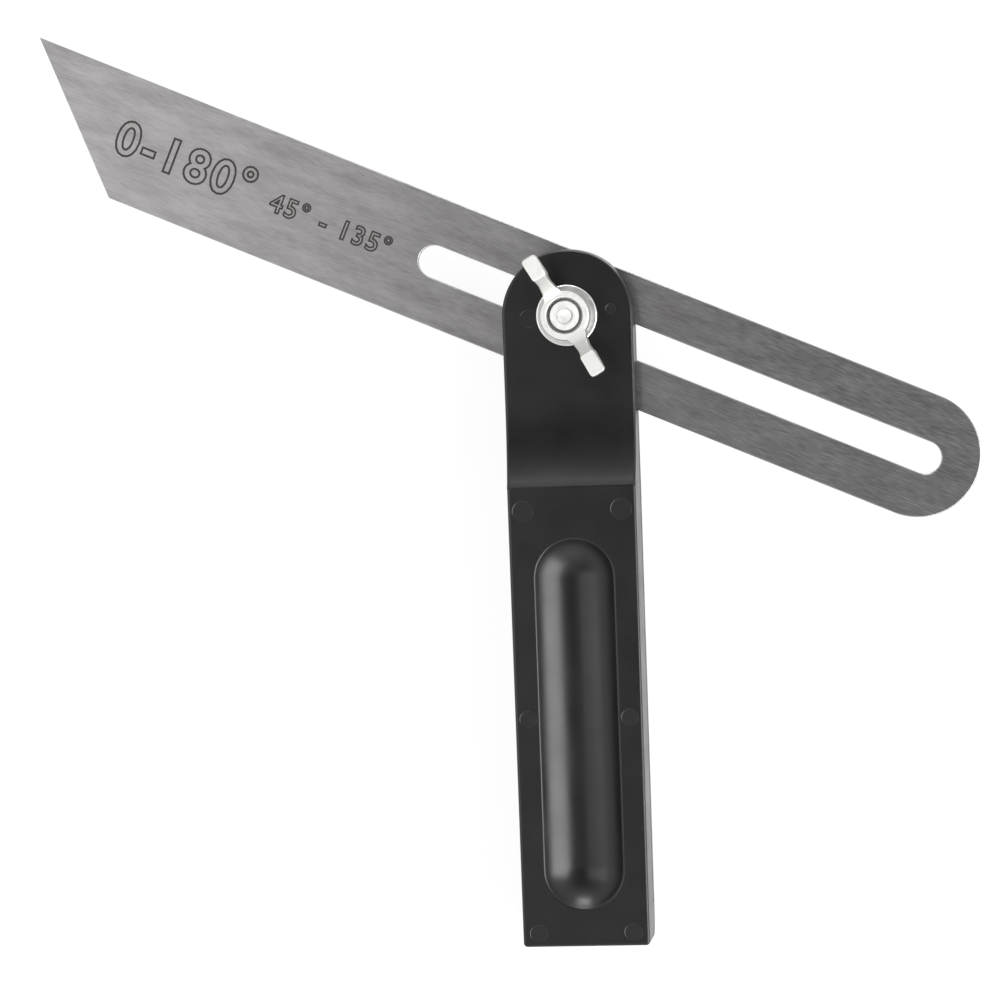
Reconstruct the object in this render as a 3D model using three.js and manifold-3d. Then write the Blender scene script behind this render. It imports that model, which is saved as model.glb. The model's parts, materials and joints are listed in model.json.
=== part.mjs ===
// A sliding bevel: a slotted steel blade clamped in a moulded stock by a bolt, a washer and a wing nut.
// The tool lies on the stock's rear face. Lengths are in millimetres, angles in degrees.
import * as THREE from "three";
import { mergeVertices } from "three/addons/utils/BufferGeometryUtils.js";
import Module from "manifold-3d";

// How the tool is set: where the blade stands and how far its tip reaches from the pivot.
const bladeTurn = 156.3;
const tipReach = 116;
const wingTurn = 119.8;

// Blade: flat steel strip with a mitred tip, a round end and a long slot.
const bladeLength = 200;
const bladeWidth = 24;
const bladeThickness = 1.2;
const tipMitre = 45;
const tipToSlot = 88;
const slotEndLand = 7.4;

// Stock: one moulding, a thick grip that steps down to two thin cheeks round the pivot.
const stockWidth = 25.4;
const buttWidth = 25.1;
const pivotToButt = 121.4;
const gripThickness = 20;
const cheekThickness = 10.8;
const rampStart = 16.1;
const rampEnd = 32.5;
const mouldDraft = 2.5;
const bladePlay = 0.3;
const buttWall = 6.9;
const buttCornerRadius = 0.8;

// Thumb recess, the same on both faces of the grip.
const recessStart = 42.2;
const recessEnd = 114;
const recessWidth = 15.4;
const recessDepth = 3.8;

// Pivot bolt: a low round head, a square neck that rides in the blade's slot, and a threaded shank.
const boltDiameter = 6;
const headDiameter = 15;
const neckCornerDiameter = 7.2;
const neckPlay = 0.15;
const holePlay = 0.2;
const threadPlay = 0.06;
const boltEndChamfer = 0.3;
const dimpleDiameter = 2.9;
const dimpleDepth = 0.35;
const boltEndBelowNut = 0.15;

// Washer under the wing nut.
const washerDiameter = 11.7;
const washerThickness = 1.2;
const washerEdge = 0.3;

// Wing nut: a round hub with two upright wings whose tops end in flat crowns.
const hubDiameter = 9.5;
const hubHeight = 5.25;
const hubEdge = 0.35;
const countersinkDiameter = 6.9;
const wingSpan = 25.8;
const wingRise = 8.9;
const wingThickness = 2.75;
const wingEdge = 0.35;
const crownLength = 4.1;

// Points of one wing's outline: shares of the reach from hub wall to tip, and of the wing's rise.
const wingLowRootShare = 0.1;
const wingLowBendShares = [0.5, 0.14];
const wingLowTipShares = [0.96, 0.78];
const wingTipBendShare = 0.98;
const crownFallShare = 0.97;
const wingSaddleShares = [0.24, 0.6];

// How finely round shapes are divided.
const roundSteps = 64;
const smallSteps = 48;
const arcSteps = 16;
// What a cutting tool reaches past the material that it cuts.
const overrun = 3;

// Sizes and places that follow from those above.
const slotGap = bladeThickness + 2 * bladePlay;
const gripHalf = gripThickness / 2;
const cheekHalf = cheekThickness / 2;
const slotWidth = boltDiameter + 2 * neckPlay;
const shankRadius = boltDiameter / 2 - threadPlay;
const washerTop = cheekHalf + washerThickness;
const nutTop = washerTop + hubHeight;
const boltEnd = nutTop - boltEndBelowNut;

const wasm = await Module();
wasm.setup();

// A closed geometry as a solid that can be joined and cut.
function solid(geometry) {
  const bare = geometry.clone();
  bare.deleteAttribute("normal");
  bare.deleteAttribute("uv");
  const merged = mergeVertices(bare);
  return new wasm.Manifold(
    new wasm.Mesh({
      numProp: 3,
      vertProperties: new Float32Array(merged.attributes.position.array),
      triVerts: new Uint32Array(merged.index.array),
    }),
  );
}

// A solid as a named mesh with its own material.
function piece(name, body, look) {
  const mesh = body.getMesh();
  const geometry = new THREE.BufferGeometry();
  geometry.setAttribute("position", new THREE.BufferAttribute(mesh.vertProperties, mesh.numProp));
  geometry.setIndex(new THREE.BufferAttribute(mesh.triVerts, 1));
  geometry.computeVertexNormals();
  const made = new THREE.Mesh(geometry, new THREE.MeshStandardMaterial(look));
  made.name = name;
  return made;
}

// A round bar along Z from one height to another.
function bar(radius, low, high, steps) {
  const geometry = new THREE.CylinderGeometry(radius, radius, high - low, steps);
  geometry.rotateX(Math.PI / 2);
  geometry.translate(0, 0, (low + high) / 2);
  return geometry;
}

// A profile of [radius, height] points turned round Z, anticlockwise in the half plane.
function turned(profile, steps) {
  const points = profile.map(([radius, height]) => new THREE.Vector2(radius, height));
  const geometry = new THREE.LatheGeometry(points, steps);
  geometry.rotateX(Math.PI / 2);
  return geometry;
}

// Blade lying along X with the pivot at the origin, its sharp tip towards +X.
function makeBlade() {
  const half = bladeWidth / 2;
  const mitreRun = bladeWidth / Math.tan(THREE.MathUtils.degToRad(tipMitre));
  const endCentre = tipReach - bladeLength + half;
  const outline = new THREE.Shape();
  outline.moveTo(tipReach, -half);
  outline.lineTo(tipReach - mitreRun, half);
  outline.lineTo(endCentre, half);
  outline.absarc(endCentre, 0, half, Math.PI / 2, (3 * Math.PI) / 2, false);
  const slotRadius = slotWidth / 2;
  const slotNear = tipReach - tipToSlot;
  const slotFar = tipReach - bladeLength + slotEndLand + slotRadius;
  const slot = new THREE.Path();
  slot.absarc(slotNear, 0, slotRadius, -Math.PI / 2, Math.PI / 2, false);
  slot.absarc(slotFar, 0, slotRadius, Math.PI / 2, (3 * Math.PI) / 2, false);
  slot.closePath();
  outline.holes.push(slot);
  const geometry = new THREE.ExtrudeGeometry(outline, {
    depth: bladeThickness,
    bevelEnabled: false,
    curveSegments: roundSteps / 2,
  });
  geometry.translate(0, 0, -bladeThickness / 2);
  return solid(geometry);
}

// The stock's outline seen from the front, full height, with the mould's draft on every side.
function stockPlan() {
  const half = stockWidth / 2;
  const buttHalf = buttWidth / 2;
  const corner = buttCornerRadius;
  const outline = new THREE.Shape();
  outline.moveTo(-buttHalf, -pivotToButt + corner);
  outline.absarc(-buttHalf + corner, -pivotToButt + corner, corner, Math.PI, (3 * Math.PI) / 2, false);
  outline.absarc(buttHalf - corner, -pivotToButt + corner, corner, (3 * Math.PI) / 2, 2 * Math.PI, false);
  outline.absarc(0, 0, half, 0, Math.PI, false);
  outline.closePath();
  const rise = gripHalf - slotGap / 2;
  const inset = rise * Math.tan(THREE.MathUtils.degToRad(mouldDraft));
  const geometry = new THREE.ExtrudeGeometry(outline, {
    depth: slotGap,
    bevelEnabled: true,
    bevelThickness: rise,
    bevelSize: inset,
    bevelOffset: -inset,
    bevelSegments: 1,
    curveSegments: roundSteps / 2,
  });
  geometry.translate(0, 0, -slotGap / 2);
  return solid(geometry);
}

// The stock's outline seen from the side: grip, hollow ramps and cheeks, run across the width.
function stockSide() {
  const run = rampEnd - rampStart;
  const rise = gripHalf - cheekHalf;
  const rampRadius = (run * run + rise * rise) / (2 * rise);
  const rampAngle = Math.asin(run / rampRadius);
  const centre = cheekHalf + rampRadius;
  const top = stockWidth / 2 + overrun;
  const outline = new THREE.Shape();
  outline.moveTo(top, -cheekHalf);
  outline.lineTo(top, cheekHalf);
  outline.absarc(-rampStart, centre, rampRadius, -Math.PI / 2, -Math.PI / 2 - rampAngle, true);
  outline.lineTo(-pivotToButt - overrun, gripHalf);
  outline.lineTo(-pivotToButt - overrun, -gripHalf);
  outline.absarc(-rampStart, -centre, rampRadius, Math.PI / 2 + rampAngle, Math.PI / 2, true);
  outline.closePath();
  const width = stockWidth + 2 * overrun;
  const geometry = new THREE.ExtrudeGeometry(outline, {
    depth: width,
    bevelEnabled: false,
    curveSegments: arcSteps,
  });
  geometry.translate(0, 0, -width / 2);
  geometry.rotateX(Math.PI / 2);
  geometry.rotateZ(Math.PI / 2);
  return solid(geometry);
}

// The hollow of one thumb recess: an arc of a circle across, part of a ball at both ends.
function recessHollow(side) {
  const half = recessWidth / 2;
  const radius = (half * half + recessDepth * recessDepth) / (2 * recessDepth);
  const height = side * (gripHalf + radius - recessDepth);
  const low = -recessEnd + half;
  const high = -recessStart - half;
  const middle = new THREE.CylinderGeometry(radius, radius, high - low, roundSteps);
  middle.translate(0, (low + high) / 2, height);
  const ends = [low, high].map((place) => {
    const ball = new THREE.SphereGeometry(radius, roundSteps, roundSteps / 2);
    ball.translate(0, place, height);
    return solid(ball);
  });
  return solid(middle).add(ends[0]).add(ends[1]);
}

// Stock: the two outlines meet, then the blade's gap, the bolt's holes and the recesses are taken out.
function makeStock() {
  const gapLow = -pivotToButt + buttWall;
  const gapHigh = stockWidth / 2 + overrun;
  const gap = new THREE.BoxGeometry(stockWidth + 2 * overrun, gapHigh - gapLow, slotGap);
  gap.translate(0, (gapLow + gapHigh) / 2, 0);
  const frontHole = bar(boltDiameter / 2 + holePlay, 0, cheekHalf + overrun, smallSteps);
  const rearHole = bar(neckCornerDiameter / 2 + neckPlay, -cheekHalf - overrun, 0, smallSteps);
  return stockPlan()
    .intersect(stockSide())
    .subtract(solid(gap))
    .subtract(solid(frontHole))
    .subtract(solid(rearHole))
    .subtract(recessHollow(1))
    .subtract(recessHollow(-1));
}

// Pivot bolt: the head fills the space between the cheek and the plane of the grip's rear face.
function makeBolt() {
  const headRadius = headDiameter / 2;
  const headHeight = gripHalf - cheekHalf;
  const domeSteps = Array.from({ length: arcSteps / 2 + 1 }, (_, i) => (i / (arcSteps / 2)) * (Math.PI / 2));
  const crownRadius = headRadius - headHeight;
  const dome = domeSteps.map((angle) => [
    crownRadius + (headRadius - crownRadius) * Math.sin(angle),
    -cheekHalf - headHeight * Math.cos(angle),
  ]);
  const shank = [
    [shankRadius, -cheekHalf],
    [shankRadius, boltEnd - boltEndChamfer],
    [shankRadius - boltEndChamfer, boltEnd],
    [dimpleDiameter / 2, boltEnd],
    [dimpleDiameter / 2 - dimpleDepth, boltEnd - dimpleDepth],
    [0, boltEnd - dimpleDepth],
  ];
  const bolt = turned([[0, -gripHalf], ...dome, ...shank], smallSteps);
  const neckTop = bladeThickness / 2;
  const neck = new THREE.BoxGeometry(boltDiameter, boltDiameter, neckTop + cheekHalf + boltEndChamfer);
  neck.translate(0, 0, (neckTop - cheekHalf - boltEndChamfer) / 2);
  const neckRound = bar(neckCornerDiameter / 2, -cheekHalf - overrun, neckTop + overrun, smallSteps);
  return solid(bolt).add(solid(neck).intersect(solid(neckRound)));
}

// Washer with both outer edges eased.
function makeWasher() {
  const hole = boltDiameter / 2 + holePlay;
  const radius = washerDiameter / 2;
  const top = washerThickness;
  const profile = [
    [hole, 0],
    [radius - washerEdge, 0],
    [radius, washerEdge],
    [radius, top - washerEdge],
    [radius - washerEdge, top],
    [hole, top],
    [hole, 0],
  ];
  return solid(turned(profile, roundSteps));
}

// One wing, upright in the XZ plane and reaching towards +X from inside the hub's wall.
function wing() {
  const tip = wingSpan / 2;
  const root = (hubDiameter / 2 + boltDiameter / 2) / 2;
  const reach = tip - root - wingEdge;
  const rise = wingRise - wingEdge;
  const low = wingRise * wingLowRootShare + wingEdge;
  const crownStart = root + reach - crownLength;
  const outline = new THREE.Shape();
  outline.moveTo(root, low);
  outline.quadraticCurveTo(
    root + reach * wingLowBendShares[0],
    rise * wingLowBendShares[1],
    root + reach * wingLowTipShares[0],
    rise * wingLowTipShares[1],
  );
  outline.quadraticCurveTo(root + reach, rise * wingTipBendShare, root + reach * wingTipBendShare, rise);
  outline.lineTo(crownStart, rise * crownFallShare);
  outline.quadraticCurveTo(
    root + reach * wingSaddleShares[0],
    rise * wingSaddleShares[1],
    root,
    hubHeight - wingEdge,
  );
  outline.closePath();
  const geometry = new THREE.ExtrudeGeometry(outline, {
    depth: wingThickness - 2 * wingEdge,
    bevelEnabled: true,
    bevelThickness: wingEdge,
    bevelSize: wingEdge,
    bevelSegments: 2,
    curveSegments: arcSteps,
  });
  geometry.translate(0, 0, -wingThickness / 2 + wingEdge);
  geometry.rotateX(Math.PI / 2);
  return geometry;
}

// Wing nut standing on the XY plane.
function makeWingNut() {
  const bore = boltDiameter / 2;
  const radius = hubDiameter / 2;
  const sink = countersinkDiameter / 2;
  const profile = [
    [bore, 0],
    [radius - hubEdge, 0],
    [radius, hubEdge],
    [radius, hubHeight - hubEdge],
    [radius - hubEdge, hubHeight],
    [sink, hubHeight],
    [bore, hubHeight - (sink - bore)],
    [bore, 0],
  ];
  const hub = solid(turned(profile, smallSteps));
  const right = wing();
  const left = wing().rotateZ(Math.PI);
  return hub.add(solid(right)).add(solid(left));
}

const plated = { color: 0xd9d9d6, metalness: 1, roughness: 0.25 };
const stock = piece("stock", makeStock(), { color: 0x2a2a2a, metalness: 0, roughness: 0.5 });
const blade = piece("blade", makeBlade(), { color: 0x9b9893, metalness: 1, roughness: 0.35 });
const bolt = piece("pivot_bolt", makeBolt(), plated);
const washer = piece("clamp_washer", makeWasher(), plated);
const wingNut = piece("wing_nut", makeWingNut(), plated);

// The bolt's neck and the blade turn together round the pivot, and the nut turns on its own.
const swing = new THREE.Group();
swing.rotation.z = THREE.MathUtils.degToRad(bladeTurn);
swing.add(blade, bolt);
const clamp = new THREE.Group();
clamp.position.z = washerTop;
clamp.rotation.z = THREE.MathUtils.degToRad(wingTurn);
clamp.add(wingNut);
washer.position.z = cheekHalf;

const tool = new THREE.Group();
tool.add(stock, swing, washer, clamp);

// The part's origin lies under the middle of the whole tool, on the surface that it rests on.
const extent = new THREE.Box3().setFromObject(tool, true);
const middle = extent.getCenter(new THREE.Vector3());
tool.position.set(-middle.x, -middle.y, -extent.min.z);

const group = new THREE.Group();
group.name = "sliding_bevel";
group.add(tool);

export default group;
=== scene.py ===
# A sliding bevel lying on a pale bench: a slotted steel blade clamped in a black moulded stock.
# Each section makes one piece of the tool, in the order in which they go together on the bolt.
import json
import math

import bmesh
import bpy
from mathutils import Matrix, Vector
from mathutils.geometry import interpolate_bezier


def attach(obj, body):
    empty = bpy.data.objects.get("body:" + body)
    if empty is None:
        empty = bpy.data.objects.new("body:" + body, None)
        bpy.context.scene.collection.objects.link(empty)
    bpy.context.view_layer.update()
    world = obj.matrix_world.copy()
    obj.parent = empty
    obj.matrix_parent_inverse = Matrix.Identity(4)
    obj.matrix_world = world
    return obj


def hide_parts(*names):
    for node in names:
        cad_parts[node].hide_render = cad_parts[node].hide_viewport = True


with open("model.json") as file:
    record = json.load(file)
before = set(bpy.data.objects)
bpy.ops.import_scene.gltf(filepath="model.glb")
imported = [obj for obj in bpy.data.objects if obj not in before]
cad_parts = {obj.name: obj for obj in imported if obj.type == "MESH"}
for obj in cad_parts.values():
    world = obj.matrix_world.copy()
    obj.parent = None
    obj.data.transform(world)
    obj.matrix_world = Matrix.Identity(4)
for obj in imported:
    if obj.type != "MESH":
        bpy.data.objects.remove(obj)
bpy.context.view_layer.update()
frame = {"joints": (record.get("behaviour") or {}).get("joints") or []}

# Stock
# One black ABS moulding: a thick grip that ramps down to two thin cheeks, slotted from side to side
# for the blade, with draft both ways from its middle and a thumb recess in each face. The mould's
# ejector pins have left shallow round marks on its front.
MM = 0.001
joints = {joint["name"]: joint for joint in frame["joints"]}
pivot = Vector(joints["blade_swing"]["pos_m"])

# The pieces are made in millimetres, with the pivot at the origin, and put in place in metres.
STOCK_WIDTH = 25.4
BUTT_WIDTH = 25.1
PIVOT_TO_BUTT = 121.4
BUTT_CORNER = 0.8
BUTT_WALL = 6.9
SLOT_HALF = 0.9
CHEEK_HALF = 5.4
GRIP_HALF = 10
RAMP_START = 16.1
RAMP_END = 32.5
MOULD_DRAFT = math.radians(2.5)
RAMP_STRIPS = 14
EDGE_ROUND = 0.5
EDGE_CUTS = 6
FINE_CUTS = 3
RAMP_EDGE_ROUND = 0.18
SLOT_EDGE_ROUND = 0.15
FRONT_BORE = 3.2
REAR_BORE = 3.75
RECESS_TOP = 42.2
RECESS_LOW = 114
RECESS_HALF = 7.85
RECESS_DEPTH = 3.8
RECESS_RIM = 0.5
RIM_RINGS = 4
RECESS_RINGS = 20
PIN_MARK_STEP = 0.1
PIN_MARK_DEPTH = 0.05
# Each ejector pin's mark: its place across and along the stock, and its radius.
PIN_MARKS = [
    (-7.4, -0.4, 1.75), (8.4, 1, 1), (-9.4, -37, 2.05), (9.4, -37, 2.05),
    (-9.75, -76.9, 1.65), (9.75, -76.9, 1.65), (-9.1, -118.4, 1.75), (9.1, -118.4, 1.75),
]
STEPS_PER_TURN = 96
LEAST_STEPS = 4
BEND_STEPS = 10
# Points nearer to each other than this count as one.
NEAR = 0.001
# How much of a face's normal points up or down: at most on a side wall, and at least on a broad
# face and on a level one.
WALL_TILT = 0.3
BROAD_TILT = 0.7
LEVEL_TILT = 0.9999


def trace(bm, start, *moves):
    """Draws a closed outline from its start: lines "to" a point, turns round a centre, and bends."""
    known = set(bm.edges)
    first = bm.verts.new((*start, 0))
    last = first
    for kind, *values in moves:
        if kind == "turn":
            x, y, degrees = values
            steps = max(LEAST_STEPS, round(STEPS_PER_TURN * abs(degrees) / 360))
            angle = math.radians(degrees)
            spun = bmesh.ops.spin(
                bm, geom=[last], cent=(x, y, 0), axis=(0, 0, 1), angle=angle, steps=steps
            )
            last = next(v for v in spun["geom_last"] if isinstance(v, bmesh.types.BMVert))
            continue
        points = [values]
        if kind == "bend":
            knots = [Vector(values[i : i + 2]) for i in (0, 2, 4)]
            bend = interpolate_bezier(last.co.to_2d(), *knots, BEND_STEPS)
            points = [point.to_2d() for point in bend[1:]]
        for point in points:
            new = bm.verts.new((*point, 0))
            bm.edges.new((last, new))
            last = new
    bm.edges.new((last, first))
    return [e for e in bm.edges if e not in known]


def corners(edges):
    """The vertices that these edges join."""
    return list(dict.fromkeys(v for e in edges for v in e.verts))


def pierce(bm, face, *holes):
    """Fills a flat face again so that it ends at closed loops of edges that lie in it."""
    up = face.normal.copy()
    loops = list(face.edges) + [e for hole in holes for e in hole]
    bmesh.ops.delete(bm, geom=[face], context="FACES_ONLY")
    filled = bmesh.ops.triangle_fill(bm, use_beauty=True, edges=loops, normal=up)
    fresh = [f for f in filled["geom"] if isinstance(f, bmesh.types.BMFace)]
    for part in fresh:
        part.smooth = False
    rings = [set(corners(hole)) for hole in holes]
    plugs = [f for f in fresh if any(ring.issuperset(f.verts) for ring in rings)]
    bmesh.ops.delete(bm, geom=plugs, context="FACES")


def face_height(along):
    """How high the stock's face stands over its middle, at this place along it."""
    down = min(max(-along - RAMP_START, 0), RAMP_END - RAMP_START)
    if down == RAMP_END - RAMP_START:
        return GRIP_HALF
    rise = GRIP_HALF - CHEEK_HALF
    radius = ((RAMP_END - RAMP_START) ** 2 + rise**2) / (2 * rise)
    return CHEEK_HALF + radius - math.sqrt(radius**2 - down**2)


def area(face):
    """A face's area."""
    return face.calc_area()


def circle(bm, radius, centre):
    """A bare circle of edges."""
    place = Matrix.Translation(centre)
    made = bmesh.ops.create_circle(bm, segments=STEPS_PER_TURN // 2, radius=radius, matrix=place)
    return list(dict.fromkeys(e for v in made["verts"] for e in v.link_edges))


def ease(bm, edges, width, segments):
    """Rounds edges over."""
    rounded = bmesh.ops.bevel(
        bm, geom=edges, offset=width, segments=segments, profile=0.5, affect="EDGES", material=-1
    )
    for face in rounded["faces"]:
        face.smooth = True


def is_rim(edge, low, high):
    """True for an edge between these heights that joins a flat face to a side wall."""
    if len(edge.link_faces) != 2 or not all(low < v.co.z < high for v in edge.verts):
        return False
    steep = sorted(abs(face.normal.z) for face in edge.link_faces)
    return steep[0] < WALL_TILT and steep[1] > BROAD_TILT


def recess_rim(bm):
    """Draws the thumb recess's outline on the grip's face: straight sides and two half circles."""
    high = -RECESS_TOP - RECESS_HALF
    low = -RECESS_LOW + RECESS_HALF
    start = (-RECESS_HALF, low)
    rim = trace(bm, start, ("turn", 0, low, 180), ("to", RECESS_HALF, high), ("turn", 0, high, 180))
    bmesh.ops.translate(bm, verts=corners(rim), vec=(0, 0, GRIP_HALF))
    return rim


def hollow(bm, rim):
    """Hangs the recess's surface from its rim, ring by ring: an eased edge, then an arc."""
    floor = bmesh.ops.contextual_create(bm, geom=rim)["faces"][0]
    floor.normal_update()
    if floor.normal.z < 0:
        floor.normal_flip()
    lean = 2 * math.atan(RECESS_DEPTH / RECESS_HALF)
    radius = RECESS_HALF / math.sin(lean) - RECESS_RIM
    section = []
    for i in range(RIM_RINGS + 1):
        angle = lean * i / RIM_RINGS
        section.append((RECESS_HALF - RECESS_RIM * math.sin(angle), RECESS_RIM * (math.cos(angle) - 1)))
    for i in range(RECESS_RINGS - 1, 0, -1):
        angle = lean * i / RECESS_RINGS
        section.append((radius * math.sin(angle), radius * (1 - math.cos(angle)) - RECESS_DEPTH))
    for (wide, high), (narrow, low) in zip(section, section[1:]):
        ring = bmesh.ops.inset_region(
            bm, faces=[floor], thickness=wide - narrow, depth=low - high, use_even_offset=True
        )
        for face in ring["faces"]:
            face.smooth = True
    floor.smooth = True


def stock_half(bore, pin_marks):
    """The half of the stock on one side of the blade, its slot face down, the pivot at the origin."""
    bm = bmesh.new()
    pressed = bm.faces.layers.float.new("pin_mark")
    half = STOCK_WIDTH / 2
    butt = BUTT_WIDTH / 2
    low = -PIVOT_TO_BUTT
    outline = trace(
        bm,
        (butt - BUTT_CORNER, low),
        ("turn", butt - BUTT_CORNER, low + BUTT_CORNER, 90),
        ("to", half, 0),
        ("turn", 0, 0, 180),
        ("to", -butt, low + BUTT_CORNER),
        ("turn", -butt + BUTT_CORNER, low + BUTT_CORNER, 90),
    )
    bmesh.ops.translate(bm, verts=bm.verts, vec=(0, 0, SLOT_HALF))
    bmesh.ops.contextual_create(bm, geom=outline)
    wall_line = low + BUTT_WALL
    ramp = RAMP_END - RAMP_START
    lines = [wall_line] + [-RAMP_START - ramp * i / RAMP_STRIPS for i in range(RAMP_STRIPS + 1)]
    for y in lines:
        everything = bm.verts[:] + bm.edges[:] + bm.faces[:]
        bmesh.ops.bisect_plane(bm, geom=everything, plane_co=(0, y, 0), plane_no=(0, 1, 0))
    raised = bmesh.ops.extrude_face_region(bm, geom=bm.faces[:])
    for v in raised["geom"]:
        if isinstance(v, bmesh.types.BMVert):
            x, y, _ = v.co
            high = face_height(y)
            inset = (high - SLOT_HALF) * math.tan(MOULD_DRAFT)
            share = 1 - inset / half
            v.co = (x * share, y * share if y > 0 else y, high)
            if y < low + BUTT_CORNER + NEAR:
                v.co.y = y + inset
    bmesh.ops.recalc_face_normals(bm, faces=bm.faces)
    on_seam = [v for v in bm.verts if abs(v.co.y - wall_line) < NEAR and v.co.z > SLOT_HALF + NEAR]
    seam = [e for e in bm.edges if all(v in on_seam for v in e.verts)]
    bmesh.ops.dissolve_edges(bm, edges=seam, use_verts=True)
    # The butt is solid to the stock's middle, where the two halves meet.
    below = [f for f in bm.faces if abs(f.calc_center_median().z - SLOT_HALF) < NEAR]
    butt_face = min(below, key=lambda f: f.calc_center_median().y)
    grown = bmesh.ops.extrude_face_region(bm, geom=[butt_face])
    for v in grown["geom"]:
        if isinstance(v, bmesh.types.BMVert):
            v.co.z = 0
    meeting = [f for f in grown["geom"] if isinstance(f, bmesh.types.BMFace)]
    bmesh.ops.delete(bm, geom=meeting + ([butt_face] if butt_face.is_valid else []), context="FACES")
    for face in bm.faces:
        face.smooth = False
    # The ramp's edge is eased first, then the edge all round the outer face and that of the slot.
    on_crest = [v for v in bm.verts if abs(v.co.y + RAMP_END) < NEAR and v.co.z > GRIP_HALF - NEAR]
    crest = [e for e in bm.edges if all(v in on_crest for v in e.verts)]
    ease(bm, crest, RAMP_EDGE_ROUND, FINE_CUTS)
    outer = [e for e in bm.edges if is_rim(e, CHEEK_HALF - NEAR, GRIP_HALF + NEAR)]
    ease(bm, outer, EDGE_ROUND, EDGE_CUTS)
    inner = [e for e in bm.edges if is_rim(e, SLOT_HALF - NEAR, SLOT_HALF + NEAR)]
    ease(bm, inner, SLOT_EDGE_ROUND, FINE_CUTS)
    # The ramp's strips are shaded as one hollow surface that ends at the eased edges beside it.
    strips = set()
    for face in bm.faces:
        middle = face.calc_center_median()
        on_ramp = abs(middle.x) < half / 2 and RAMP_START < -middle.y < RAMP_END
        if on_ramp and face.normal.z > BROAD_TILT:
            face.smooth = True
            strips.add(face)
    for edge in bm.edges:
        if len(strips.intersection(edge.link_faces)) == 1:
            edge.smooth = False
    # The flat faces are filled again round the bore, the recess and the pin marks.
    level = [f for f in bm.faces if f.normal.z > LEVEL_TILT]
    cheek = max((f for f in level if f.calc_center_median().y > -RAMP_START), key=area)
    grip = max((f for f in level if f.calc_center_median().y < -RAMP_END), key=area)
    beneath = [f for f in bm.faces if f.normal.z < -LEVEL_TILT]
    slot = max((f for f in beneath if f.calc_center_median().y > -RAMP_START), key=area)
    bores = [circle(bm, bore, (0, 0, z)) for z in (SLOT_HALF, CHEEK_HALF)]
    rim = recess_rim(bm)
    rings = [circle(bm, radius, (x, y, face_height(y))) for x, y, radius in pin_marks]
    on_cheek = [ring for ring in rings if corners(ring)[0].co.z < GRIP_HALF - NEAR]
    on_grip = [ring for ring in rings if ring not in on_cheek]
    pierce(bm, slot, bores[0])
    pierce(bm, cheek, bores[1], *on_cheek)
    pierce(bm, grip, rim, *on_grip)
    bmesh.ops.bridge_loops(bm, edges=bores[0] + bores[1])
    hollow(bm, rim)
    for ring in rings:
        disc = bmesh.ops.contextual_create(bm, geom=ring)["faces"][0]
        disc.normal_update()
        if disc.normal.z < 0:
            disc.normal_flip()
        bmesh.ops.inset_region(bm, faces=[disc], thickness=PIN_MARK_STEP, depth=-PIN_MARK_DEPTH)
        disc[pressed] = 1
    return bm


stock_mesh = bmesh.new()
for way, bore, pin_marks in ((1, FRONT_BORE, PIN_MARKS), (-1, REAR_BORE, [])):
    half_mesh = stock_half(bore, pin_marks)
    bmesh.ops.scale(half_mesh, vec=(1, 1, way), verts=half_mesh.verts)
    shape = bpy.data.meshes.new("stock_half")
    half_mesh.to_mesh(shape)
    half_mesh.free()
    stock_mesh.from_mesh(shape)
    bpy.data.meshes.remove(shape)
bmesh.ops.remove_doubles(stock_mesh, verts=stock_mesh.verts, dist=NEAR)


def linear(hex_colour):
    """An sRGB hex colour as the linear colour that a shader takes."""
    channels = [int(hex_colour[i : i + 2], 16) / 255 for i in (1, 3, 5)]
    return tuple(c / 12.92 if c <= 0.04045 else ((c + 0.055) / 1.055) ** 2.4 for c in channels) + (1,)


def add(tree, kind, inputs=None, **settings):
    """Adds a node. Each input gets a value, or a link where it is given another node's output."""
    made = tree.nodes.new("ShaderNode" + kind)
    for name, value in settings.items():
        setattr(made, name, value)
    for name, value in (inputs or {}).items():
        if isinstance(value, bpy.types.NodeSocket):
            tree.links.new(value, made.inputs[name])
        else:
            made.inputs[name].default_value = value
    return made


def new_material(name):
    """An empty node material."""
    made = bpy.data.materials.new(name)
    made.use_nodes = True
    made.node_tree.nodes.clear()
    return made


def put_in_scene(bm, name, place, material):
    """Makes the mesh an object whose place is in its vertices."""
    bmesh.ops.transform(bm, matrix=place, verts=bm.verts)
    bmesh.ops.recalc_face_normals(bm, faces=bm.faces)
    mesh = bpy.data.meshes.new(name)
    bm.to_mesh(mesh)
    bm.free()
    mesh.materials.append(material)
    made = bpy.data.objects.new(name, mesh)
    bpy.context.scene.collection.objects.link(made)
    return made


# Black ABS out of a fine-eroded mould: near black, satin, with a grain just fine enough to feel, and
# a touch duller on the pins' marks.
black_abs = new_material("moulded_black_abs")
tree = black_abs.node_tree
place = add(tree, "TexCoord").outputs["Object"]
GRAIN = 0.35 * MM
MOTTLE = 7 * MM
PIN_DULLING = 0.07
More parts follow.
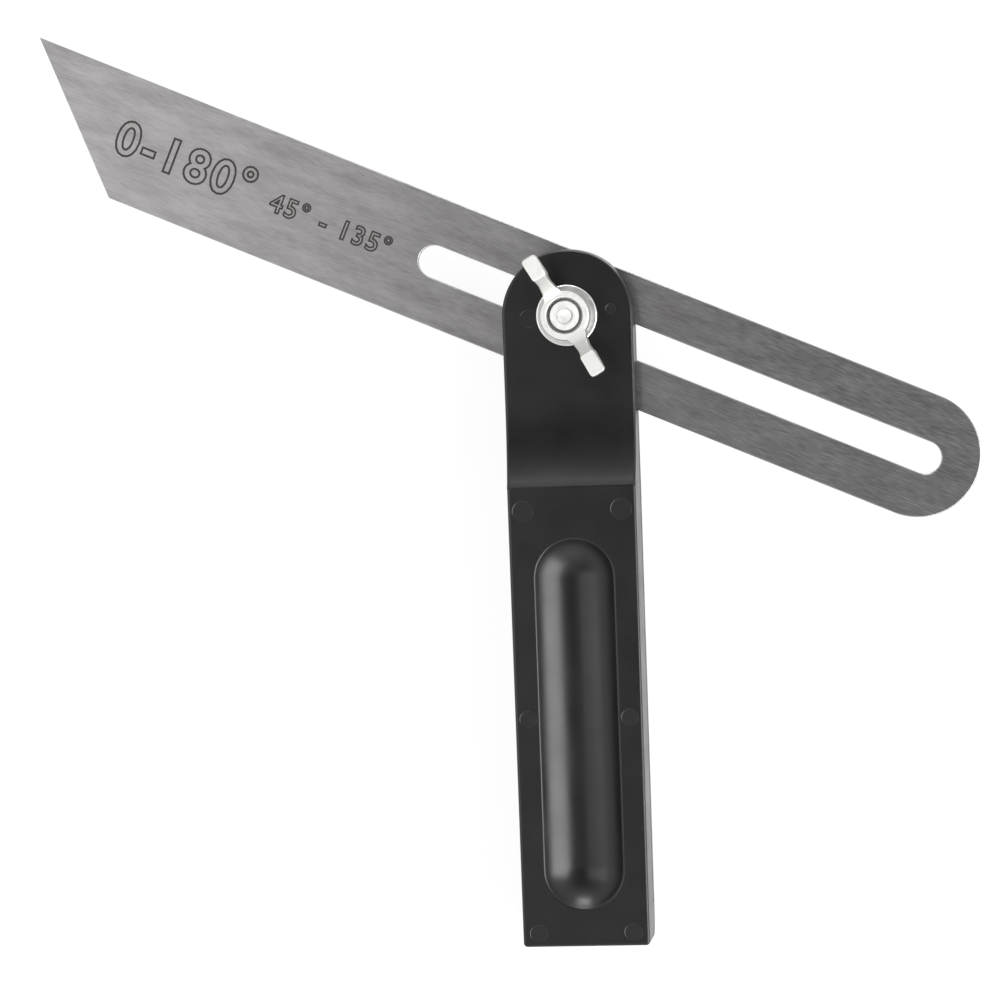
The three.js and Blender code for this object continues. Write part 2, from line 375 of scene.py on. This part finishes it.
# The range that nearly all of a noise's values lie in.
NOISE = {"From Min": 0.3, "From Max": 0.7}
grain = add(tree, "TexNoise", {"Vector": place, "Scale": 1 / GRAIN, "Detail": 2}).outputs["Fac"]
mottle = add(tree, "TexNoise", {"Vector": place, "Scale": 1 / MOTTLE, "Detail": 4}).outputs["Fac"]
shine = add(tree, "MapRange", {"Value": mottle, **NOISE, "To Min": 0.28, "To Max": 0.36})
pressed = add(tree, "Attribute", attribute_name="pin_mark").outputs["Fac"]
duller = add(tree, "Math", {0: pressed, 1: PIN_DULLING, 2: shine.outputs[0]}, operation="MULTIPLY_ADD")
bump = add(tree, "Bump", {"Height": grain, "Strength": 0.25, "Distance": 0.02 * MM})
plastic = add(
    tree,
    "BsdfPrincipled",
    {
        "Base Color": linear("#0a0a0a"),
        "Roughness": duller.outputs[0],
        "IOR": 1.53,
        "Normal": bump.outputs[0],
    },
)
add(tree, "OutputMaterial", {"Surface": plastic.outputs[0]})

place_in_mm = Matrix.Translation(pivot) @ Matrix.Scale(MM, 4)
stock = put_in_scene(stock_mesh, "moulded_stock", place_in_mm, black_abs)
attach(stock, "stock_body")
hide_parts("stock")

# Pivot bolt
# A cold-headed steel bolt, zinc plated: a low round head, a square neck that rides in the blade's
# slot and stops the bolt from turning, and an M6 rolled thread whose end has a centre dimple.
BOLT_RADIUS = 2.94
BOLT_END = 11.7
BOLT_END_CHAMFER = 0.2
CHAMFER_LENGTH = 0.9
THREAD_PITCH = 1
THREAD_DEPTH = 0.55
THREAD_POINTS = 6
SPARE_TURNS = 2
NECK_HALF = 3
NECK_CORNER = 3.6
NECK_TOP = 0.6
HEAD_RADIUS = 7.5
HEAD_CROWN = 2.9
DOME_STEPS = 12
# Edges that turn by more degrees than this stay sharp.
BOLT_CREASE = 32
# The dimple's section from its rim to its middle: how far from the axis, and how deep.
DIMPLE = [(1.7, 0), (1.66, 0.6), (1.32, 0.6), (1.26, 0.14), (0.7, 0.2), (0, 0.26)]
# Stands up an outline that was drawn lying flat.
UPRIGHT = Matrix.Rotation(math.pi / 2, 3, "X")


def lathe(bm, edges):
    """Turns an outline, drawn with its radius along X and its height along Y, round the Z axis."""
    ends = corners(edges)
    bmesh.ops.rotate(bm, cent=(0, 0, 0), matrix=UPRIGHT, verts=ends)
    bmesh.ops.spin(
        bm, geom=ends + edges, cent=(0, 0, 0), axis=(0, 0, 1), angle=2 * math.pi,
        steps=STEPS_PER_TURN, use_merge=True,
    )


def path(bm, points):
    """An open line of edges through points that are given as a radius and a height."""
    made = [bm.verts.new((radius, height, 0)) for radius, height in points]
    return [bm.edges.new(pair) for pair in zip(made, made[1:])]


def open_loop(bm, height):
    """The edges of an open rim at this height."""
    rims = [e for e in bm.edges if e.is_boundary]
    return [e for e in rims if all(abs(v.co.z - height) < NEAR for v in e.verts)]


def shade(bm, crease):
    """Shades all but level faces smooth, and keeps the edges that turn by more than the crease."""
    for face in bm.faces:
        face.smooth = abs(face.normal.z) < LEVEL_TILT
    for edge in bm.edges:
        edge.smooth = edge.calc_face_angle(0) < math.radians(crease)


def threaded_rod(low, high, chamfer):
    """A rod with an open lower end and a rolled thread that runs out at its chamfered upper end."""
    bm = bmesh.new()
    steps = STEPS_PER_TURN // 2
    points = []
    start = low - SPARE_TURNS * THREAD_PITCH
    turns = round((high - low) / THREAD_PITCH) + 2 * SPARE_TURNS
    for i in range(turns * THREAD_POINTS + 1):
        wave = abs(2 * (i / THREAD_POINTS % 1) - 1)
        points.append((BOLT_RADIUS - THREAD_DEPTH * wave, start + THREAD_PITCH * i / THREAD_POINTS))
    edges = path(bm, points)
    ends = corners(edges)
    bmesh.ops.rotate(bm, cent=(0, 0, 0), matrix=UPRIGHT, verts=ends)
    climb = (0, 0, THREAD_PITCH / steps)
    bmesh.ops.spin(
        bm, geom=ends + edges, cent=(0, 0, 0), axis=(0, 0, 1), angle=2 * math.pi,
        steps=steps, dvec=climb,
    )
    bmesh.ops.remove_doubles(bm, verts=bm.verts, dist=NEAR)
    for height, way in ((low, -1), (high, 1)):
        everything = bm.verts[:] + bm.edges[:] + bm.faces[:]
        bmesh.ops.bisect_plane(
            bm, geom=everything, plane_co=(0, 0, height), plane_no=(0, 0, way), clear_outer=True
        )
    for v in bm.verts:
        radius = v.co.xy.length
        fade = min(max((v.co.z - high) / THREAD_PITCH + 1, 0), 1)
        full = radius + (BOLT_RADIUS - radius) * fade
        wanted = min(full, BOLT_RADIUS - chamfer + (high - v.co.z) * chamfer / CHAMFER_LENGTH)
        v.co.xy *= wanted / radius
    return bm


bolt_mesh = threaded_rod(NECK_TOP, BOLT_END, BOLT_END_CHAMFER)
head_height = GRIP_HALF - CHEEK_HALF
quarter_steps = [math.pi / 2 * i / DOME_STEPS for i in range(DOME_STEPS + 1)]
dome = [
    (HEAD_CROWN + (HEAD_RADIUS - HEAD_CROWN) * math.cos(a), -CHEEK_HALF - head_height * math.sin(a))
    for a in quarter_steps
]
lathe(bolt_mesh, path(bolt_mesh, dome + [(0, -GRIP_HALF)]))
lathe(bolt_mesh, path(bolt_mesh, [(radius, BOLT_END - depth) for radius, depth in DIMPLE]))
bmesh.ops.remove_doubles(bolt_mesh, verts=bolt_mesh.verts, dist=NEAR)
bmesh.ops.bridge_loops(bolt_mesh, edges=open_loop(bolt_mesh, BOLT_END))
shank_foot = open_loop(bolt_mesh, NECK_TOP)
head_rim = open_loop(bolt_mesh, -CHEEK_HALF)
# The neck is a square bar with its corners turned off, so its plan is four flats and four arcs.
flat_half = math.sqrt(NECK_CORNER**2 - NECK_HALF**2)
corner_turn = 90 - 2 * math.degrees(math.atan2(flat_half, NECK_HALF))
moves = []
for quarter in range(4):
    moves.append(("turn", 0, 0, corner_turn))
    x, y = Matrix.Rotation(math.radians(90 * (quarter + 1)), 2) @ Vector((NECK_HALF, flat_half))
    moves.append(("to", x, y))
neck_rims = []
for height in (NECK_TOP, -CHEEK_HALF):
    rim = trace(bolt_mesh, (NECK_HALF, flat_half), *moves[:-1])
    bmesh.ops.translate(bolt_mesh, verts=corners(rim), vec=(0, 0, height))
    neck_rims.append(rim)
bmesh.ops.bridge_loops(bolt_mesh, edges=shank_foot + neck_rims[0])
bmesh.ops.bridge_loops(bolt_mesh, edges=neck_rims[0] + neck_rims[1])
# The head's flat underside is filled round the neck.
under_head = bmesh.ops.contextual_create(bolt_mesh, geom=head_rim)["faces"][0]
under_head.normal_update()
pierce(bolt_mesh, under_head, neck_rims[1])
bmesh.ops.recalc_face_normals(bolt_mesh, faces=bolt_mesh.faces)
shade(bolt_mesh, BOLT_CREASE)

# Bright zinc plating on smooth steel: a white metal that blurs what it mirrors, a little cloudy.
zinc_plate = new_material("zinc_plated_steel")
tree = zinc_plate.node_tree
place = add(tree, "TexCoord").outputs["Object"]
CLOUD = 1.6 * MM
cloud = add(tree, "TexNoise", {"Vector": place, "Scale": 1 / CLOUD, "Detail": 5}).outputs["Fac"]
shine = add(tree, "MapRange", {"Value": cloud, **NOISE, "To Min": 0.5, "To Max": 0.64})
tint = add(tree, "MapRange", {"Value": cloud, **NOISE})
tone = add(
    tree,
    "Mix",
    {"Factor": tint.outputs[0], "A": linear("#f0f0ee"), "B": linear("#fafaf8")},
    data_type="RGBA",
)
plate = add(
    tree,
    "BsdfPrincipled",
    {"Base Color": tone.outputs["Result"], "Metallic": 1.0, "Roughness": shine.outputs[0]},
)
add(tree, "OutputMaterial", {"Surface": plate.outputs[0]})

slide = Vector(joints["blade_slide"]["axis"])
BLADE_TURN = math.atan2(slide.y, slide.x)
blade_place = place_in_mm @ Matrix.Rotation(BLADE_TURN, 4, "Z")
bolt = put_in_scene(bolt_mesh, "threaded_pivot_bolt", blade_place, zinc_plate)
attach(bolt, "bolt_body")
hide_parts("pivot_bolt")

# Blade
# A strip of 1.2 mm steel, blanked with a mitred point, a round end and a long slot, then ground
# and brushed along its length. It slides and turns on the bolt's neck between the stock's cheeks.
BLADE_LENGTH = 200
BLADE_WIDTH = 24
BLADE_THICKNESS = 1.2
BLADE_EDGE = 0.2
BLADE_EDGE_CUTS = 2
CREASE = 50
TIP_REACH = 116
TIP_TO_SLOT = 88
SLOT_END_LAND = 7.4
SLOT_RADIUS = 3.15

blade_mesh = bmesh.new()
half = BLADE_WIDTH / 2
face_up = BLADE_THICKNESS / 2
end_centre = TIP_REACH - BLADE_LENGTH + half
outline = trace(
    blade_mesh,
    (TIP_REACH, -half),
    ("to", TIP_REACH - BLADE_WIDTH, half),
    ("to", end_centre, half),
    ("turn", end_centre, 0, 180),
)
bmesh.ops.translate(blade_mesh, verts=blade_mesh.verts, vec=(0, 0, -face_up))
bmesh.ops.contextual_create(blade_mesh, geom=outline)
raised = bmesh.ops.extrude_face_region(blade_mesh, geom=blade_mesh.faces[:])
lifted = [v for v in raised["geom"] if isinstance(v, bmesh.types.BMVert)]
bmesh.ops.translate(blade_mesh, verts=lifted, vec=(0, 0, BLADE_THICKNESS))
bmesh.ops.recalc_face_normals(blade_mesh, faces=blade_mesh.faces)
rims = [e for e in blade_mesh.edges if is_rim(e, -BLADE_THICKNESS, BLADE_THICKNESS)]
ease(blade_mesh, rims, BLADE_EDGE, BLADE_EDGE_CUTS)
wide_faces = sorted(blade_mesh.faces, key=area)[-2:]

slot_near = TIP_REACH - TIP_TO_SLOT
slot_far = TIP_REACH - BLADE_LENGTH + SLOT_END_LAND + SLOT_RADIUS
quarter_steps = [math.pi / 2 * i / BLADE_EDGE_CUTS for i in range(BLADE_EDGE_CUTS, -1, -1)]
slot_loops = []
for way, angles in ((1, quarter_steps), (-1, quarter_steps[::-1])):
    for angle in angles:
        radius = SLOT_RADIUS + BLADE_EDGE * (1 - math.cos(angle))
        height = way * (face_up - BLADE_EDGE * (1 - math.sin(angle)))
        rim = trace(
            blade_mesh,
            (slot_near, -radius),
            ("turn", slot_near, 0, 180),
            ("to", slot_far, radius),
            ("turn", slot_far, 0, 180),
        )
        bmesh.ops.translate(blade_mesh, verts=corners(rim), vec=(0, 0, height))
        slot_loops.append(rim)
for face in wide_faces:
    pierce(blade_mesh, face, slot_loops[0 if face.normal.z > 0 else -1])
for upper, lower in zip(slot_loops, slot_loops[1:]):
    bmesh.ops.bridge_loops(blade_mesh, edges=upper + lower)
shade(blade_mesh, CREASE)
# The map's first direction runs along the blade, and the brushing follows it.
along = blade_mesh.loops.layers.uv.new("along")
for face in blade_mesh.faces:
    for loop in face.loops:
        x, y, z = loop.vert.co
        loop[along].uv = (x / BLADE_LENGTH, (y + z) / BLADE_LENGTH)

# Ground steel brushed lengthwise: faint long patches, short fine scratches, and light that smears
# across the grain.
brushed_steel = new_material("brushed_ground_steel")
tree = brushed_steel.node_tree
place = add(tree, "TexCoord").outputs["Object"]
turned = add(tree, "Mapping", {"Vector": place, "Rotation": (0, 0, -BLADE_TURN)})
STREAK_LONG = 12 * MM
STREAK_WIDE = 2.6 * MM
SCRATCH_LONG = 2.4 * MM
SCRATCH_WIDE = 0.28 * MM
brushing = []
for long, wide in ((STREAK_LONG, STREAK_WIDE), (SCRATCH_LONG, SCRATCH_WIDE)):
    scale = (1 / long, 1 / wide, 1 / wide)
    drawn = add(tree, "Mapping", {"Vector": turned.outputs[0], "Scale": scale})
    noise = add(tree, "TexNoise", {"Vector": drawn.outputs[0], "Scale": 1.0, "Detail": 3})
    brushing.append(noise.outputs["Fac"])
streaks, scratches = brushing
blend = add(tree, "Math", {0: streaks, 1: scratches}, operation="ADD")
tint = add(tree, "MapRange", {"Value": blend.outputs[0], "From Min": 0.7, "From Max": 1.3})
tone = add(
    tree,
    "Mix",
    {"Factor": tint.outputs[0], "A": linear("#989696"), "B": linear("#b6b4b4")},
    data_type="RGBA",
)
shine = add(tree, "MapRange", {"Value": scratches, **NOISE, "To Min": 0.32, "To Max": 0.4})
groove = add(tree, "Bump", {"Height": scratches, "Strength": 0.12, "Distance": 0.01 * MM})
tangent = add(tree, "Tangent", direction_type="UV_MAP", uv_map="along")
steel = add(
    tree,
    "BsdfPrincipled",
    {
        "Base Color": tone.outputs["Result"],
        "Metallic": 1.0,
        "Roughness": shine.outputs[0],
        "Anisotropic": 0.75,
        "Anisotropic Rotation": 0.25,
        "Tangent": tangent.outputs[0],
        "Normal": groove.outputs[0],
    },
)
add(tree, "OutputMaterial", {"Surface": steel.outputs[0]})

blade = put_in_scene(blade_mesh, "slotted_blade", blade_place, brushed_steel)
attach(blade, "blade_body")
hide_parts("blade")

# Etched marks
# Outlined figures etched dark into the blade's front: the range of angles that the tool sets, large,
# and the two angles of its mitred point, small. They run from the point towards the slot.
ETCH_DEPTH = 0.02
LETTER_SPACING = 1.15
LETTER_STEPS = 4
# Each mark's name and figures, the figures' size, the width of their line, where they start along
# and across the blade, and how far they are swollen.
MARKS = [
    ("etched_angle_range", "0-180°", 9.4, 0.42, 94.8, 3.1, 0.2),
    ("etched_mitre_angles", "45° - 135°", 5.2, 0.34, 62, 2.6, 0.06),
]

etched_line = new_material("etched_steel_line")
tree = etched_line.node_tree
place = add(tree, "TexCoord").outputs["Object"]
SPECKLE = 0.25 * MM
speckle = add(tree, "TexNoise", {"Vector": place, "Scale": 1 / SPECKLE, "Detail": 2}).outputs["Fac"]
tone = add(
    tree,
    "Mix",
    {"Factor": speckle, "A": linear("#262422"), "B": linear("#454240")},
    data_type="RGBA",
)
etch = add(
    tree,
    "BsdfPrincipled",
    {"Base Color": tone.outputs["Result"], "Metallic": 0.4, "Roughness": 0.6},
)
add(tree, "OutputMaterial", {"Surface": etch.outputs[0]})

for name, figures, size, line, start, base, swell in MARKS:
    letters = bpy.data.curves.new(name, "FONT")
    letters.body = figures
    letters.size = size
    letters.fill_mode = "NONE"
    letters.bevel_depth = line / 2
    letters.bevel_resolution = 1
    letters.resolution_u = LETTER_STEPS
    letters.offset = swell
    letters.space_character = LETTER_SPACING
    writing = bpy.data.objects.new(name, letters)
    bpy.context.scene.collection.objects.link(writing)
    shape = bpy.data.meshes.new_from_object(writing)
    mark_mesh = bmesh.new()
    mark_mesh.from_mesh(shape)
    bpy.data.objects.remove(writing)
    bpy.data.meshes.remove(shape)
    bmesh.ops.scale(mark_mesh, vec=(1, 1, 2 * ETCH_DEPTH / line), verts=mark_mesh.verts)
    bmesh.ops.rotate(
        mark_mesh, cent=(0, 0, 0), matrix=Matrix.Rotation(math.pi, 3, "Z"), verts=mark_mesh.verts
    )
    bmesh.ops.translate(mark_mesh, verts=mark_mesh.verts, vec=(start, base, face_up))
    mark = put_in_scene(mark_mesh, name, blade_place, etched_line)
    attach(mark, "blade_body")

# Clamp washer
# A plain steel washer, stamped and zinc plated. Its punched edges are rounded over, and it lies on
# the front cheek so that the turning nut doesn't rub the plastic.
WASHER_RADIUS = 5.85
WASHER_THICKNESS = 1.2
WASHER_EDGE = 0.3
WASHER_BORE = 3.2
# A hair's breadth under the washer, so that it lies on the cheek without cutting into it.
SEAT_GAP = 0.01

washer_mesh = bmesh.new()
low = CHEEK_HALF + SEAT_GAP
high = CHEEK_HALF + WASHER_THICKNESS
section = trace(
    washer_mesh,
    (WASHER_BORE, low),
    ("to", WASHER_RADIUS - WASHER_EDGE, low),
    ("turn", WASHER_RADIUS - WASHER_EDGE, low + WASHER_EDGE, 90),
    ("to", WASHER_RADIUS, high - WASHER_EDGE),
    ("turn", WASHER_RADIUS - WASHER_EDGE, high - WASHER_EDGE, 90),
    ("to", WASHER_BORE, high),
)
lathe(washer_mesh, section)
bmesh.ops.remove_doubles(washer_mesh, verts=washer_mesh.verts, dist=NEAR)
bmesh.ops.recalc_face_normals(washer_mesh, faces=washer_mesh.faces)
shade(washer_mesh, CREASE)

# The same plating over rolled strip, which is flatter, so that it mirrors the lamps more sharply.
zinc_strip = new_material("zinc_plated_strip")
tree = zinc_strip.node_tree
place = add(tree, "TexCoord").outputs["Object"]
cloud = add(tree, "TexNoise", {"Vector": place, "Scale": 1 / CLOUD, "Detail": 5}).outputs["Fac"]
shine = add(tree, "MapRange", {"Value": cloud, **NOISE, "To Min": 0.26, "To Max": 0.4})
plate = add(
    tree,
    "BsdfPrincipled",
    {"Base Color": linear("#f4f4f2"), "Metallic": 1.0, "Roughness": shine.outputs[0]},
)
add(tree, "OutputMaterial", {"Surface": plate.outputs[0]})
washer = put_in_scene(washer_mesh, "stamped_washer", place_in_mm, zinc_strip)
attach(washer, "washer_body")
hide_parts("clamp_washer")

# Wing nut
# A zinc-plated casting: a round hub with a countersunk thread and two upright wings, whose roots
# flow into the hub and whose tops end in flat, level crowns for the fingers.
HUB_RADIUS = 4.75
HUB_HEIGHT = 5.25
HUB_EDGE = 0.35
NUT_BORE = 3
COUNTERSINK = 3.42
COUNTERSINK_FOOT = 3.36
COUNTERSINK_DEPTH = 0.9
COUNTERSINK_FLOOR = 0.2
WING_ROOT = 3.6
WING_FOOT = 0.9
# A wing's outline: out and up its lower edge, round the tip, back along the crown, down to the hub.
WING_OUTLINE = [
    ("bend", 6.7, 0.8, 9.7, 2.7, 12.5, 6.5),
    ("bend", 12.7, 7.1, 12.9, 7.8, 12.9, 8.4),
    ("to", 12.7, 8.87),
    ("to", 8.3, 8.65),
    ("bend", 6.6, 6.48, 5, 5.35, WING_ROOT, 5.15),
]
# Distances from the bolt's axis, each with half the wing's thickness there.
WING_HALVES = [
    (3.6, 2.2), (4.6, 1.85), (5.8, 1.35), (7.2, 1.15), (8.1, 1.2),
    (8.7, 1.45), (12.3, 1.5), (12.65, 1.35), (12.9, 0.9),
]
WING_SLICE = 0.2
CASTING_GRAIN = 0.12
CASTING_ROUNDS = 3
CASTING_SOFTNESS = 0.5


def wing_half(x):
    """Half a wing's thickness at this distance from the bolt's axis, eased between the given places."""
    for (start, thick), (end, thin) in zip(WING_HALVES, WING_HALVES[1:]):
        if x <= end:
            share = min(max((x - start) / (end - start), 0), 1)
            return thick + (thin - thick) * share * share * (3 - 2 * share)
    return WING_HALVES[-1][1]


nut_mesh = bmesh.new()
hub = trace(
    nut_mesh,
    (NUT_BORE, 0),
    ("to", HUB_RADIUS - HUB_EDGE, 0),
    ("turn", HUB_RADIUS - HUB_EDGE, HUB_EDGE, 90),
    ("to", HUB_RADIUS, HUB_HEIGHT - HUB_EDGE),
    ("turn", HUB_RADIUS - HUB_EDGE, HUB_HEIGHT - HUB_EDGE, 90),
    ("to", COUNTERSINK, HUB_HEIGHT),
    ("to", COUNTERSINK_FOOT, HUB_HEIGHT - COUNTERSINK_DEPTH),
    ("to", NUT_BORE, HUB_HEIGHT - COUNTERSINK_DEPTH - COUNTERSINK_FLOOR),
)
lathe(nut_mesh, hub)
bmesh.ops.remove_doubles(nut_mesh, verts=nut_mesh.verts, dist=NEAR)
wing = bmesh.new()
outline = trace(wing, (WING_ROOT, WING_FOOT), *WING_OUTLINE)
bmesh.ops.contextual_create(wing, geom=outline)
for i in range(1, round((WING_HALVES[-1][0] - WING_ROOT) / WING_SLICE)):
    everything = wing.verts[:] + wing.edges[:] + wing.faces[:]
    bmesh.ops.bisect_plane(
        wing, geom=everything, plane_co=(WING_ROOT + WING_SLICE * i, 0, 0), plane_no=(1, 0, 0)
    )
bmesh.ops.extrude_face_region(wing, geom=wing.faces[:])
fronts = wing.verts[:][: len(wing.verts) // 2]
for v in wing.verts:
    v.co.z = (1 if v in fronts else -1) * wing_half(v.co.x)
bmesh.ops.rotate(wing, cent=(0, 0, 0), matrix=UPRIGHT, verts=wing.verts)
wing_shape = bpy.data.meshes.new("wing")
bmesh.ops.recalc_face_normals(wing, faces=wing.faces)
wing.to_mesh(wing_shape)
nut_mesh.from_mesh(wing_shape)
wing_shape.transform(Matrix.Rotation(math.pi, 4, "Z"))
nut_mesh.from_mesh(wing_shape)
bmesh.ops.recalc_face_normals(nut_mesh, faces=nut_mesh.faces)


def cast(bm, grain, rounds):
    """Joins overlapping solids into one skin with a casting's soft edges and inner corners."""
    shape = bpy.data.meshes.new("casting")
    bm.to_mesh(shape)
    bm.clear()
    blank = bpy.data.objects.new("casting", shape)
    bpy.context.scene.collection.objects.link(blank)
    skin = blank.modifiers.new("skin", "REMESH")
    skin.mode = "VOXEL"
    skin.voxel_size = grain
    bm.from_object(blank, bpy.context.evaluated_depsgraph_get())
    bpy.data.objects.remove(blank)
    for _ in range(rounds):
        bmesh.ops.smooth_vert(
            bm, verts=bm.verts, factor=CASTING_SOFTNESS,
            use_axis_x=True, use_axis_y=True, use_axis_z=True,
        )


cast(nut_mesh, CASTING_GRAIN, CASTING_ROUNDS)
for face in nut_mesh.faces:
    face.smooth = True

# The same plating over a casting: blurry, because the cast skin under it is uneven. Its colour has
# painted light in it: level faces are painted lighter than the slopes, which get painted shade.
zinc_casting = new_material("zinc_plated_casting")
tree = zinc_casting.node_tree
surface = add(tree, "TexCoord").outputs
place = surface["Object"]
CAST_SKIN = 0.7 * MM
SLOPE_TILT = 0.8
CROWN_TILT = 0.98
skin = add(tree, "TexNoise", {"Vector": place, "Scale": 1 / CAST_SKIN, "Detail": 4}).outputs["Fac"]
shine = add(tree, "MapRange", {"Value": skin, **NOISE, "To Min": 0.5, "To Max": 0.64})
bump = add(tree, "Bump", {"Height": skin, "Strength": 0.3, "Distance": 0.03 * MM})
tilt = add(tree, "SeparateXYZ", {0: surface["Normal"]}).outputs["Z"]
# Painted light and shade: the more a face points up, the lighter it is painted, so level faces look lit
# and slopes look shaded.
painted_light_by_tilt = add(tree, "MapRange", {"Value": tilt, "From Min": SLOPE_TILT, "From Max": CROWN_TILT})
tone = add(
    tree,
    "Mix",
    {"Factor": painted_light_by_tilt.outputs[0], "A": linear("#bcbcb9"), "B": linear("#eeeeeb")},
    data_type="RGBA",
)
casting = add(
    tree,
    "BsdfPrincipled",
    {
        "Base Color": tone.outputs["Result"],
        "Metallic": 1.0,
        "Roughness": shine.outputs[0],
        "Normal": bump.outputs[0],
    },
)
add(tree, "OutputMaterial", {"Surface": casting.outputs[0]})

WING_TURN = math.radians(119.8)
on_washer = Matrix.Translation((0, 0, CHEEK_HALF + WASHER_THICKNESS))
seat = on_washer @ Matrix.Rotation(WING_TURN, 4, "Z")
nut = put_in_scene(nut_mesh, "cast_wing_nut", place_in_mm @ seat, zinc_casting)
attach(nut, "nut_body")
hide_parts("wing_nut")

# Bench
# A plain matt sheet just under the tool. It shows white to the eye and in the metal, and keeps a
# faint shadow.
# In metres, as the room is.
BENCH_HALF = 2
BENCH_DROP = 0.02 * MM
bench_mesh = bmesh.new()
bmesh.ops.create_grid(bench_mesh, x_segments=1, y_segments=1, size=BENCH_HALF)
bench_sheet = new_material("white_sheet")
tree = bench_sheet.node_tree
# The light that falls on the sheet makes up the rest of its white, and goes missing in a shadow.
GLOW = 0.86
rays = add(tree, "LightPath").outputs
seen = rays["Is Camera Ray"]
for kind in ("Is Glossy Ray", "Is Transmission Ray"):
    seen = add(tree, "Math", {0: seen, 1: rays[kind]}, operation="MAXIMUM").outputs[0]
white = add(tree, "Math", {0: seen, 1: GLOW}, operation="MULTIPLY")
sheet = add(
    tree,
    "BsdfPrincipled",
    {
        "Base Color": linear("#7c7c7c"),
        "Roughness": 0.9,
        "Specular IOR Level": 0.0,
        "Emission Color": linear("#ffffff"),
        "Emission Strength": white.outputs[0],
    },
)
add(tree, "OutputMaterial", {"Surface": sheet.outputs[0]})
bench_place = Matrix.Translation((0, 0, -BENCH_DROP))
bench = put_in_scene(bench_mesh, "bench_sheet", bench_place, bench_sheet)

# Light
# A large soft lamp on the right, a small low one beyond the tool, a weak one high on the left and a
# faint one in front, all of them turned to the tool, in a white room whose ceiling is dim.
LAMP_DISTANCE = 0.9
# Each lamp's name, its lean from overhead and the way it leans, in degrees, its width and length, in
# metres, and its radiance.
LAMPS = [
    ("right_lamp", 55, -25, 0.7, 0.8, 5.2),
    ("far_lamp", 72, 90, 0.3, 0.4, 7.0),
    ("left_lamp", 32, 180, 0.75, 0.5, 1.45),
    ("near_lamp", 42, -90, 1.1, 0.5, 0.4),
]
for name, lean, side, width, length, radiance in LAMPS:
    lamp_data = bpy.data.lights.new(name, "AREA")
    lamp_data.shape = "RECTANGLE"
    lamp_data.size = width
    lamp_data.size_y = length
    lamp_data.energy = radiance * math.pi * width * length
    lamp = bpy.data.objects.new(name, lamp_data)
    bpy.context.scene.collection.objects.link(lamp)
    leaning = Matrix.Rotation(math.radians(lean), 4, "Y")
    swing = Matrix.Rotation(math.radians(side), 4, "Z") @ leaning
    lamp.matrix_world = swing @ Matrix.Translation((0, 0, LAMP_DISTANCE))
    lamp.visible_camera = False

world = bpy.data.worlds.new("white_room")
bpy.context.scene.world = world
world.use_nodes = True
tree = world.node_tree
tree.nodes.clear()
CEILING = 0.1
CEILING_LINE = 0.45
direction = add(tree, "TexCoord").outputs["Generated"]
height = add(tree, "SeparateXYZ", {0: direction}).outputs["Z"]
level = add(
    tree,
    "MapRange",
    {"Value": height, "From Min": CEILING_LINE, "To Min": 1.0, "To Max": CEILING},
    interpolation_type="SMOOTHSTEP",
)
room = add(tree, "Background", {"Color": linear("#ffffff"), "Strength": level.outputs[0]})
add(tree, "OutputWorld", {"Surface": room.outputs[0]})

# Camera
# It looks down at the tool, a little from its right, as the photograph does. Its place is given
# from the pivot, along the picture's own right, up and out.
EYE = Vector((47.173, 4.14, 617.015)) * MM
TOOL_TURN = -0.035973
LOOK_LEFT = 0.097822
LOOK_UP = -0.064293
LENS = 115.344
SIGHT = 20
camera = bpy.data.objects.new("camera", bpy.data.cameras.new("camera"))
bpy.context.scene.collection.objects.link(camera)
bpy.context.scene.camera = camera
turn = Matrix.Rotation(TOOL_TURN, 4, "Z")
look = turn @ Matrix.Rotation(LOOK_LEFT, 4, "Y") @ Matrix.Rotation(LOOK_UP, 4, "X")
camera.matrix_world = Matrix.Translation(turn @ EYE + pivot) @ look
camera.data.lens = LENS
camera.data.clip_end = SIGHT

bpy.context.scene.view_settings.view_transform = "Standard"
